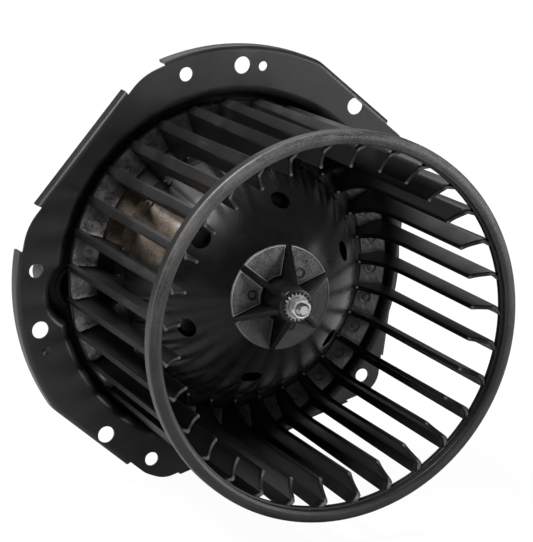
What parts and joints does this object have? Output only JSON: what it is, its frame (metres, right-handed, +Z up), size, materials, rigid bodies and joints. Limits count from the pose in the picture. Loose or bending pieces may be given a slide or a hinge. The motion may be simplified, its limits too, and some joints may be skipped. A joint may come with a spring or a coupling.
{
  "type": "car cabin blower motor",
  "caption": "Cabin blower: a black squirrel-cage fan wheel with a domed hub on a small electric motor, held by a stamped mounting flange.",
  "frame": {"origin": "on the wheel's axis of rotation, in the front (mounting) face of the flange", "axes": "+Y along the axis of rotation from the open front of the wheel to the motor's rear end, +Z up as pictured, +X to the right seen from the open front"},
  "size_m": [0.1707, 0.1605, 0.1746],
  "materials": {
    "wheel_plastic": "moulded black polypropylene, satin, with fine scuffs",
    "flange_paint": "stamped steel with satin black paint",
    "motor_zinc": "zinc-plated drawn steel",
    "fastener_zinc": "zinc-plated steel",
    "duct_plastic": "moulded black plastic",
    "bronze": "oil-filled sintered bronze",
    "spring_steel": "plain spring steel",
    "ferrite": "ground ferrite",
    "shaft_steel": "ground steel",
    "lamination": "stacked steel sheet",
    "enamelled_copper": "enamelled copper wire",
    "copper": "turned copper",
    "phenolic": "brown phenolic board",
    "washer_nylon": "natural nylon",
    "brass": "stamped brass",
    "carbon": "pressed carbon",
    "socket_plastic": "moulded black plastic"
  },
  "bodies": {
    "housing": {"mounting_flange": "flange_paint", "motor_can": "motor_zinc", "end_cap": "motor_zinc", "mount_ring": "motor_zinc", "motor_screws": "fastener_zinc", "cooling_duct": "duct_plastic", "front_bearing": "bronze", "rear_bearing": "bronze", "front_retainer": "spring_steel", "rear_retainer": "spring_steel", "magnet_left": "ferrite", "magnet_right": "ferrite", "magnet_clip_upper": "spring_steel", "magnet_clip_lower": "spring_steel", "brush_card": "phenolic", "brush_box_upper": "brass", "brush_box_lower": "brass", "brush_upper": "carbon", "brush_lower": "carbon", "brush_spring_upper": "spring_steel", "brush_spring_lower": "spring_steel", "terminal_block": "socket_plastic", "terminal_upper": "brass", "terminal_lower": "brass"},
    "rotor": {"shaft": "shaft_steel", "armature_core": "lamination", "armature_winding": "enamelled_copper", "commutator": "copper", "commutator_hub": "phenolic", "thrust_washer_front": "washer_nylon", "thrust_washer_rear": "washer_nylon", "blower_wheel": "wheel_plastic", "lock_washer": "fastener_zinc", "shaft_nut": "fastener_zinc"}
  },
  "joints": [
    {"name": "wheel_spin", "type": "hinge", "parent": "housing", "child": "rotor", "pos_m": [0, 0, 0], "axis": [0, 1, 0], "continuous": true}
  ]
}
